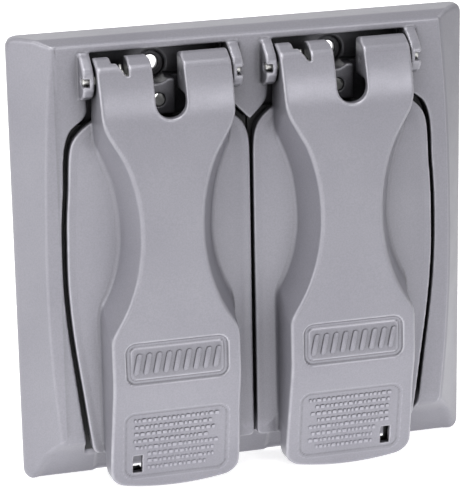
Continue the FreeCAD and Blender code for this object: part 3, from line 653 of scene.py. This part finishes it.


# Grey powder coat, with painted shade in corners, in recesses and in the upper device screw holes.
def powder_coat(name, tone=1.0):
    mat, tree, bsdf = new_material(name)
    where = coordinates(tree)
    # broad colour drift, then metallic flake speckle
    drift = noise(tree, where, scale=38.0, detail=3.0)
    colour = ramp(tree, drift, (0.3, [c * tone for c in COAT_LOW]),
                  (0.7, [c * tone for c in COAT_HIGH]))
    flake = noise(tree, where, scale=2600.0, detail=2.0)
    colour = multiply(tree, colour, remap(tree, flake, source=(0.35, 0.65), to=(0.95, 1.05)))
    # a thinner, worn coat on the edges, and painted shade darkening the concave corners
    bend = add(tree, "Attribute", attribute_name="bend").outputs["Fac"]
    patches = noise(tree, where, scale=420.0, detail=3.0)
    patches = remap(tree, patches, source=(0.3, 0.7), to=(0.6, 1.0))
    wear = remap(tree, bend, source=(0.5, 2.2), to=(0.0, 0.42))
    worn = maths(tree, "MULTIPLY", wear, patches)
    colour = mix(tree, worn, colour, (0.60, 0.59, 0.64, 1))
    # painted shade: colour darkened in concave corners
    corners = remap(tree, bend, source=(-1.6, -0.3), to=(0.62, 1.0))
    colour = shade(tree, multiply(tree, colour, corners))
    # the mask of the painted shade in the upper screw holes also lowers their gloss
    bore = tree.nodes["bore"].outputs["Result"]
    gloss = maths(tree, "MULTIPLY", bore, 0.5)
    patchy = noise(tree, where, scale=160.0, detail=4.0)
    roughness = remap(tree, patchy, to=(0.27, 0.40))
    orange_peel = noise(tree, where, scale=700.0, detail=3.0)
    bsdf.inputs["Metallic"].default_value = COAT_METAL
    set_inputs(tree, bsdf, {
        "Base Color": colour, "Specular IOR Level": gloss, "Roughness": roughness,
        "Normal": bump(tree, orange_peel, strength=0.30, distance=0.00010)})
    return mat


def rub_edges(tree, colour, source, most, rubbed):
    """Blends towards a rubbed colour on convex edges."""
    edges = add(tree, "NewGeometry").outputs["Pointiness"]
    return mix(tree, remap(tree, edges, source, to=(0.0, most)), colour, (*rubbed, 1))


def bare_steel(name, tone, scale):
    mat, tree, bsdf = new_material(name)
    # grain drawn out along x
    grain = add(tree, "Mapping", {"Scale": (scale * 0.08, scale, scale),
                                  "Vector": coordinates(tree)})
    streaks = noise(tree, grain.outputs["Vector"], scale=1.0, detail=5.0)
    colour = ramp(tree, streaks, (0.3, (tone * 0.82, tone * 0.81, tone * 0.78)),
                  (0.7, (tone, tone, tone * 0.98)))
    colour = rub_edges(tree, colour, source=(0.51, 0.58), most=0.6, rubbed=(0.86, 0.86, 0.85))
    bsdf.inputs["Metallic"].default_value = 1.0
    set_inputs(tree, bsdf, {
        "Base Color": colour, "Roughness": remap(tree, streaks, to=(0.40, 0.58)),
        "Normal": bump(tree, streaks, strength=0.25, distance=0.00004)})
    return mat


def foam():
    mat, tree, bsdf = new_material("closed_cell_foam")
    where = coordinates(tree)
    cells = add(tree, "TexVoronoi", {"Scale": 1900.0, "Vector": where}).outputs["Distance"]
    patches = noise(tree, where, scale=120.0, detail=5.0)
    colour = ramp(tree, patches, (0.25, (0.016, 0.016, 0.018)), (0.8, (0.040, 0.040, 0.043)))
    colour = rub_edges(tree, colour, source=(0.52, 0.62), most=0.4, rubbed=(0.075, 0.075, 0.078))
    set_inputs(tree, bsdf, {
        "Base Color": colour, "Roughness": remap(tree, patches, to=(0.72, 0.95)),
        "Normal": bump(tree, cells, strength=0.6, distance=0.00012)})
    return mat


COAT = powder_coat("grey_powder_coat")
# a lighter coat for the dashes of the lower panel: a painted highlight
COAT_HIGHLIT = powder_coat("grey_powder_coat_painted_highlight", tone=1.38)
PIN_STEEL = bare_steel("pin_stainless", tone=0.66, scale=1400.0)
WIRE_STEEL = bare_steel("spring_stainless", tone=0.58, scale=2200.0)
FOAM = foam()

# ------------------------------------------------------------------ cast pieces
LID_STEP = 0.42
PLATE_STEP = 0.46
for name, hand, middle in LIDS:
    verts, quads, bend = surface_nets(lid_solid(hand), low=(-25.6, -24.2, -59.0),
                                      high=(25.6, -6.3, 55.3), step=LID_STEP)
    verts[:, 0] += middle
    lid = mesh_piece(name + "_casting", verts, quads, COAT, name + "_body", "casting", bend)
    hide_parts(name)
verts, quads, bend = surface_nets(plate_solid, low=(-60.0, -18.2, -59.0),
                                  high=(60.0, 1.0, 59.0), step=PLATE_STEP)
plate = mesh_piece("cover_plate_casting", verts, quads, COAT, "plate", "casting", bend)
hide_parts("cover_plate")


# ------------------------------------------------------------------ raised relief on the panels
SLANTED_BARS, BAR_PITCH = 9, 2.55
DASH_HALF_WIDTHS, DASH_GAP = [0.30, 0.42, 0.54], 0.42
# Rows of dashes on the left lid, clear of the lock slot: (z, first x, last x).
DASH_ROWS = [
    (-37.9, -11.0, 11.2), (-39.85, -10.8, 9.4), (-41.8, -10.9, 10.6), (-43.75, -11.0, 8.8),
    (-45.7, -10.6, 11.0), (-47.65, -7.4, 10.2), (-49.6, -7.4, 11.0), (-51.55, -7.4, 9.0)]


def bridge(faces, start, lower, upper, count):
    """Quads between two rings of a mesh whose rings each have count points."""
    for i in range(count):
        j = (i + 1) % count
        faces.append((start + lower * count + i, start + lower * count + j,
                      start + upper * count + j, start + upper * count + i))


def bar(verts, faces, outline, depth, rise, ease):
    """A low bevelled block over a closed outline, standing depth behind the handle's front."""
    outline = np.asarray(outline, float)
    middle = outline.mean(axis=0)
    count = len(outline)
    start = len(verts)
    levels = ((0.0, -0.25), (0.0, rise - ease), (ease * 0.35, rise - ease * 0.35), (ease, rise))
    for shrink, lift in levels:
        for point in outline:
            arm = point - middle
            x, z = middle + arm * (1 - shrink / max(np.linalg.norm(arm), 1e-6))
            verts.append((x, float(FRONT(z)) + depth - lift, z))
    last = len(levels) - 1
    for ring in range(last):
        bridge(faces, start, ring, ring + 1, count)
    faces.append(tuple(start + last * count + i for i in range(count)))
    faces.append(tuple(start + i for i in reversed(range(count))))


def lozenge(cx, cz, half_x, half_z, radius, slant=0.0, segments=4):
    """A rounded block outline, sheared by slant."""
    points = []
    reach_x, reach_z = half_x - radius, half_z - radius
    for arc_x, arc_z, start in ((reach_x, reach_z, 0), (-reach_x, reach_z, 90),
                                (-reach_x, -reach_z, 180), (reach_x, -reach_z, 270)):
        for i in range(segments + 1):
            angle = math.radians(start + 90 * i / segments)
            x, z = arc_x + radius * math.cos(angle), arc_z + radius * math.sin(angle)
            points.append((cx + x + slant * z, cz + z))
    return points


# slanted bars in the upper panel, plain rows of dashes in the lower one
for name, hand, middle in LIDS:
    verts, faces = [], []
    for i in range(SLANTED_BARS):
        outline = lozenge((i - SLANTED_BARS // 2) * BAR_PITCH, UPPER_PANEL_Z, half_x=0.66,
                          half_z=2.7, radius=0.55, slant=0.22)
        bar(verts, faces, outline, depth=PLATEAU_DEPTH, rise=0.42, ease=0.16)
    slanted_faces = len(faces)
    rng = np.random.default_rng(11)
    for row_z, first, last in DASH_ROWS:
        if hand < 0:
            first, last = -last, -first
        x = first
        while True:
            half = float(rng.choice(DASH_HALF_WIDTHS))
            if x + 2 * half > last:
                break
            outline = lozenge(x + half, row_z, half, half_z=0.46, radius=0.2, segments=2)
            bar(verts, faces, outline, depth=0.40, rise=0.26, ease=0.12)
            x += 2 * half + DASH_GAP
    verts = np.array(verts)
    verts[:, 0] += middle
    relief = mesh_piece(name + "_relief", verts, faces, COAT, name + "_body", "casting")
    # the dashes take the lighter coat, a painted highlight on the raised text
    relief.data.materials.append(COAT_HIGHLIT)
    relief.data.polygons.foreach_set(
        "material_index", [int(i >= slanted_faces) for i in range(len(relief.data.polygons))])


# ------------------------------------------------------------------ pins
# (distance from that end, radius), read from the left end of a left pin to its right end.
DOMED_END = [(0, 0.30), (0.03, 0.58), (0.12, 0.80), (0.28, 0.94), (0.5, 0.99), (1.2, 0.99)]
CHAMFERED_END = [(0.4, 0.99), (0.1, 0.86), (0, 0.62)]


def lathe_x(profile, segments=40):
    """Turns (x, radius) pairs about the pin axis into a closed mesh."""
    verts, faces = [], []
    for x, radius in profile:
        for i in range(segments):
            angle = 2 * math.pi * i / segments
            verts.append((x, PIN_Y + radius * math.cos(angle), PIN_Z + radius * math.sin(angle)))
    for ring in range(len(profile) - 1):
        near, far = ring * segments, (ring + 1) * segments
        for i in range(segments):
            j = (i + 1) % segments
            faces.append((near + i, far + i, far + j, near + j))
    faces.append(tuple(range(segments)))
    faces.append(tuple((len(profile) - 1) * segments + i for i in reversed(range(segments))))
    return verts, faces


for name in ("left_lid_left_pin", "left_lid_right_pin", "right_lid_left_pin",
             "right_lid_right_pin"):
    low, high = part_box(name)
    left, right = low[0] * 1000, high[0] * 1000
    if name.endswith("left_pin"):
        left_end, right_end = DOMED_END, CHAMFERED_END
    else:
        left_end, right_end = CHAMFERED_END[::-1], DOMED_END[::-1]
    profile = [(left + d, radius) for d, radius in left_end]
    profile += [(right - d, radius) for d, radius in right_end]
    pin = mesh_piece(name + "_turned", *lathe_x(profile), PIN_STEEL, "plate", "pin")
    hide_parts(name)

# ------------------------------------------------------------------ springs
WIRE_RADIUS = 0.45
COIL_RADIUS, COIL_TURNS, COIL_PITCH, COIL_LEFT = 1.85, 3.0, 0.95, -12.25
COIL_START = math.radians(35.0)
COIL_END = COIL_START + 2 * math.pi * COIL_TURNS - math.radians(75.0)
COIL_STEPS = 120
FIRST_LEG = (5.2, 4.0, 3.0, 2.0, 1.2, 0.6)      # distances from the coil
LAST_LEG = (0.6, 1.2, 2.0, 3.0, 3.8, 4.6)
WIRE_CAP = ((0.45, 0.45), (0.25, 0.85))         # (distance past the end, radius) / wire radius


def tube(path, radius, segments=16):
    """A round wire along a path of points, with domed ends."""
    path = np.asarray(path, float)
    along = np.gradient(path, axis=0)
    along /= np.linalg.norm(along, axis=1)[:, None]
    normal = np.cross(along[0], np.array([1.0, 0.0, 0.0]))
    normal = normal / np.linalg.norm(normal)
    rings = []
    for point, tangent in zip(path, along):
        normal = normal - tangent * np.dot(normal, tangent)
        normal = normal / np.linalg.norm(normal)
        rings.append((point, normal, np.cross(tangent, normal), radius))
    p, a, b, _ = rings[0]
    head = [(p - along[0] * radius * d, a, b, radius * size) for d, size in WIRE_CAP]
    p, a, b, _ = rings[-1]
    tail = [(p + along[-1] * radius * d, a, b, radius * size) for d, size in WIRE_CAP[::-1]]
    rings = head + rings + tail
    verts, faces = [], []
    for p, a, b, size in rings:
        for i in range(segments):
            angle = 2 * math.pi * i / segments
            verts.append(tuple(p + size * (a * math.cos(angle) + b * math.sin(angle))))
    last = len(rings) - 1
    for ring in range(last):
        bridge(faces, 0, ring, ring + 1, segments)
    faces.append(tuple(reversed(range(segments))))
    faces.append(tuple(last * segments + i for i in range(segments)))
    return verts, faces


def spring_path():
    """A coil round the pin axis, with a straight leg off each end."""
    coil = []
    for i in range(COIL_STEPS + 1):
        t = i / COIL_STEPS
        angle = COIL_START + (COIL_END - COIL_START) * t
        coil.append((COIL_LEFT + COIL_PITCH * COIL_TURNS * t,
                     PIN_Y + COIL_RADIUS * math.cos(angle),
                     PIN_Z + COIL_RADIUS * math.sin(angle)))
    coil = np.array(coil)
    start_way, end_way = [np.array((0, -math.sin(angle), math.cos(angle)))
                          for angle in (COIL_START, COIL_END)]
    return np.concatenate([[coil[0] - start_way * s for s in FIRST_LEG], coil,
                           [coil[-1] + end_way * s for s in LAST_LEG]])


for lid_name, _, middle in LIDS:
    name = lid_name + "_spring"
    wire = tube(spring_path() + np.array([middle, 0, 0]), WIRE_RADIUS)
    spring = mesh_piece(name + "_wire", *wire, WIRE_STEEL, "plate", "spring")
    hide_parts(name)

# ------------------------------------------------------------------ gaskets
for name in ("box_gasket", "left_well_gasket", "right_well_gasket"):
    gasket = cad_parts[name]
    if not len(gasket.material_slots):
        gasket.data.materials.append(FOAM)
    else:
        for slot in gasket.material_slots:
            slot.material = FOAM

# ------------------------------------------------------------------ floor
FLOOR_HALF = 6
FLOOR_DROP = 0.00005                    # below the lowest point
FLOOR_LEFT, FLOOR_RIGHT = 0.50, 0.02    # glow that lights the pieces, from left to right
FLOOR_FRONT = 0.60                      # extra glow of the pool in front
FLOOR_POOL = (0.025, -0.09, -0.058)
FLOOR_SEEN = 0.72                       # even glow the camera sees


def floor_finish(name):
    mat, tree, bsdf = new_material(name)
    bsdf.inputs["Base Color"].default_value = (0.93, 0.93, 0.93, 1)
    bsdf.inputs["Roughness"].default_value = 0.9
    bsdf.inputs["Emission Color"].default_value = (1, 1, 1, 1)
    where = coordinates(tree)
    x = add(tree, "SeparateXYZ", {0: where}).outputs["X"]
    across = remap(tree, x, source=(-0.25, 0.25), to=(FLOOR_LEFT, FLOOR_RIGHT))
    seen = add(tree, "LightPath").outputs["Is Camera Ray"]
    away = distance_to(tree, where, FLOOR_POOL)
    pool = remap(tree, away, source=(0.20, 0.06), to=(0.0, FLOOR_FRONT))
    lit = maths(tree, "ADD", across, pool)
    glow = add(tree, "Mix", {"Factor": seen, "A": lit, "B": FLOOR_SEEN})
    set_inputs(tree, bsdf, {"Emission Strength": glow.outputs["Result"]})
    return mat


floor_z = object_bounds()[0][2] - FLOOR_DROP
floor_mesh = bpy.data.meshes.new("floor")
floor_mesh.from_pydata([(x * FLOOR_HALF, y * FLOOR_HALF, floor_z)
                        for x, y in ((-1, -1), (1, -1), (1, 1), (-1, 1))], [], [(0, 1, 2, 3)])
floor = bpy.data.objects.new("floor", floor_mesh)
scene.collection.objects.link(floor)
floor_mesh.materials.append(floor_finish("floor_finish"))

# ------------------------------------------------------------------ world
SKY_LOW, SKY_HIGH = 0.60, 1.08          # strength by height
SKY_LEFT, SKY_RIGHT = 1.01, 0.60        # factor from left to right
SKY_BACK = 2.4                          # factor towards +y, behind the plate

world = bpy.data.worlds.new("studio")
scene.world = world
world.use_nodes = True
sky = world.node_tree
sky.nodes.clear()
ray = add(sky, "SeparateXYZ", {0: coordinates(sky, "Generated")}).outputs
by_height = remap(sky, ray["Z"], source=(-0.1, 0.9), to=(SKY_LOW, SKY_HIGH))
by_side = remap(sky, ray["X"], source=(-1.0, 1.0), to=(SKY_LEFT, SKY_RIGHT))
strength = maths(sky, "MULTIPLY", by_height, by_side)
by_depth = remap(sky, ray["Y"], source=(0.76, 0.90), to=(1.0, SKY_BACK))
strength = maths(sky, "MULTIPLY", strength, by_depth)
lit_sky = add(sky, "Background", {"Strength": strength})
seen_sky = add(sky, "Background", {"Color": (1, 1, 1, 1), "Strength": 1.0})
either_sky = add(sky, "MixShader", {"Fac": add(sky, "LightPath").outputs["Is Camera Ray"],
                                    1: lit_sky.outputs[0], 2: seen_sky.outputs[0]})
add(sky, "OutputWorld", {"Surface": either_sky.outputs[0]})


# ------------------------------------------------------------------ lights
def area(name, place, power, size, target=(0, 0, 0), size_y=None):
    lamp = bpy.data.lights.new(name, "AREA")
    lamp.energy = power
    lamp.size = size
    if size_y:
        lamp.shape = "RECTANGLE"
        lamp.size_y = size_y
    light = bpy.data.objects.new(name, lamp)
    scene.collection.objects.link(light)
    light.location = place
    aim = Vector(target) - Vector(place)
    light.rotation_euler = aim.to_track_quat("-Z", "Y").to_euler()


area("top_light", place=(-0.16, -0.20, 0.9), power=5.5, size=0.55)
area("left_light", place=(-0.9, -0.35, 0.28), power=2.6, size=0.5)
area("front_light", place=(0.42, -1.12, 0.36), power=2.9, size=0.5, target=(0, 0, 0.03),
     size_y=0.28)

# ------------------------------------------------------------------ camera
CAMERA_RIGHT = (0.9622995, -0.27143906, -0.01733507)
CAMERA_UP = (0.09793995, 0.28634558, 0.95310754)
CAMERA_BACK = (-0.2537468, -0.9188727, 0.30213494)
CAMERA_PLACE = (-0.17349510, -0.62301024, 0.20116976)

lens = bpy.data.cameras.new("camera")
camera = bpy.data.objects.new("camera", lens)
scene.collection.objects.link(camera)
camera.matrix_world = Matrix(
    [*zip(CAMERA_RIGHT, CAMERA_UP, CAMERA_BACK, CAMERA_PLACE), (0, 0, 0, 1)])
lens.sensor_fit = "VERTICAL"
lens.sensor_height = 36.0
lens.sensor_width = 36.0
lens.lens = 194.269636
lens.shift_x = -0.00626285714
lens.shift_y = 0.02079
lens.clip_start = 0.01
lens.clip_end = 30
scene.camera = camera
scene.view_settings.view_transform = "Standard"
scene.view_settings.look = "None"
